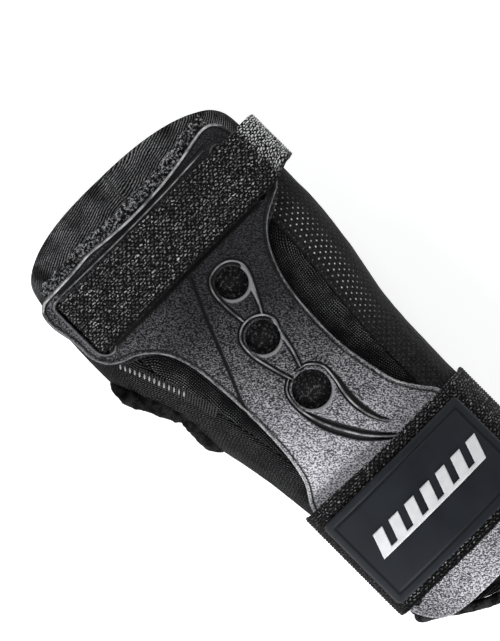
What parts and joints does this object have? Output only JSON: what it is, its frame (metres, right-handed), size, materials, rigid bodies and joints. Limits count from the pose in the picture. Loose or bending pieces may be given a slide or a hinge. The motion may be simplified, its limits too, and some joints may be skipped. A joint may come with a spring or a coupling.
{
  "type": "wrist guard",
  "caption": "Right-hand wrist guard: knit sleeve with a thumb hole, slotted back splint, palm splint with a skid face, and hand and forearm straps.",
  "frame": {"origin": "on the flat skid face of the palm splint, under the wrist, with the hand palm down", "axes": "+Y towards the fingers, -X towards the thumb, +Z towards the back of the hand"},
  "size_m": [0.1058, 0.2096, 0.0778],
  "materials": {
    "knit_fabric": "matt fine-ribbed knit",
    "ribbed_knit": "matt herringbone rib",
    "mesh_fabric": "open mesh with pale dots",
    "edge_binding": "soft folded tape",
    "foam": "fabric-faced foam",
    "webbing": "coarse woven nylon webbing",
    "hook_loop_tape": "hook and loop pile",
    "splint_plastic": "pebble-grained black plastic",
    "label_rubber": "smooth soft PVC",
    "emblem_white": "raised white PVC"
  },
  "bodies": {
    "guard": {"sleeve_dorsal_panel": "knit_fabric", "sleeve_ulnar_mesh_panel": "mesh_fabric", "sleeve_palm_panel": "knit_fabric", "sleeve_radial_panel": "knit_fabric", "finger_edge_band": "ribbed_knit", "cuff_binding": "edge_binding", "thumb_hole_binding": "edge_binding", "dorsal_foam_pad": "foam", "palm_foam_pad": "foam", "dorsal_splint": "splint_plastic", "palm_splint": "splint_plastic", "hand_strap_base": "webbing", "hand_strap_loop_patch": "hook_loop_tape", "forearm_strap_base": "webbing", "forearm_loop_band": "hook_loop_tape"},
    "forearm_flap": {"forearm_strap_flap": "webbing", "forearm_strap_hook_tape": "hook_loop_tape", "forearm_label": "label_rubber", "label_emblem": "emblem_white"},
    "forearm_tip": {"forearm_strap_tip": "webbing"},
    "hand_flap": {"hand_strap_flap": "webbing", "hand_strap_hook_tape": "hook_loop_tape"}
  },
  "joints": [
    {"name": "forearm_strap_peel", "type": "hinge", "parent": "guard", "child": "forearm_flap", "pos_m": [0.0348, -0.0575, 0.0642], "axis": [0, 0.9978, -0.0662], "range_deg": [0, 115]},
    {"name": "forearm_tip_peel", "type": "hinge", "parent": "forearm_flap", "child": "forearm_tip", "pos_m": [-0.031, -0.0575, 0.0669], "axis": [0, 0.9979, -0.065], "range_deg": [0, 60]},
    {"name": "hand_strap_peel", "type": "hinge", "parent": "guard", "child": "hand_flap", "pos_m": [0.0452, 0.0706, 0.0527], "axis": [0, -0.9937, 0.1117], "range_deg": [0, 100]}
  ]
}
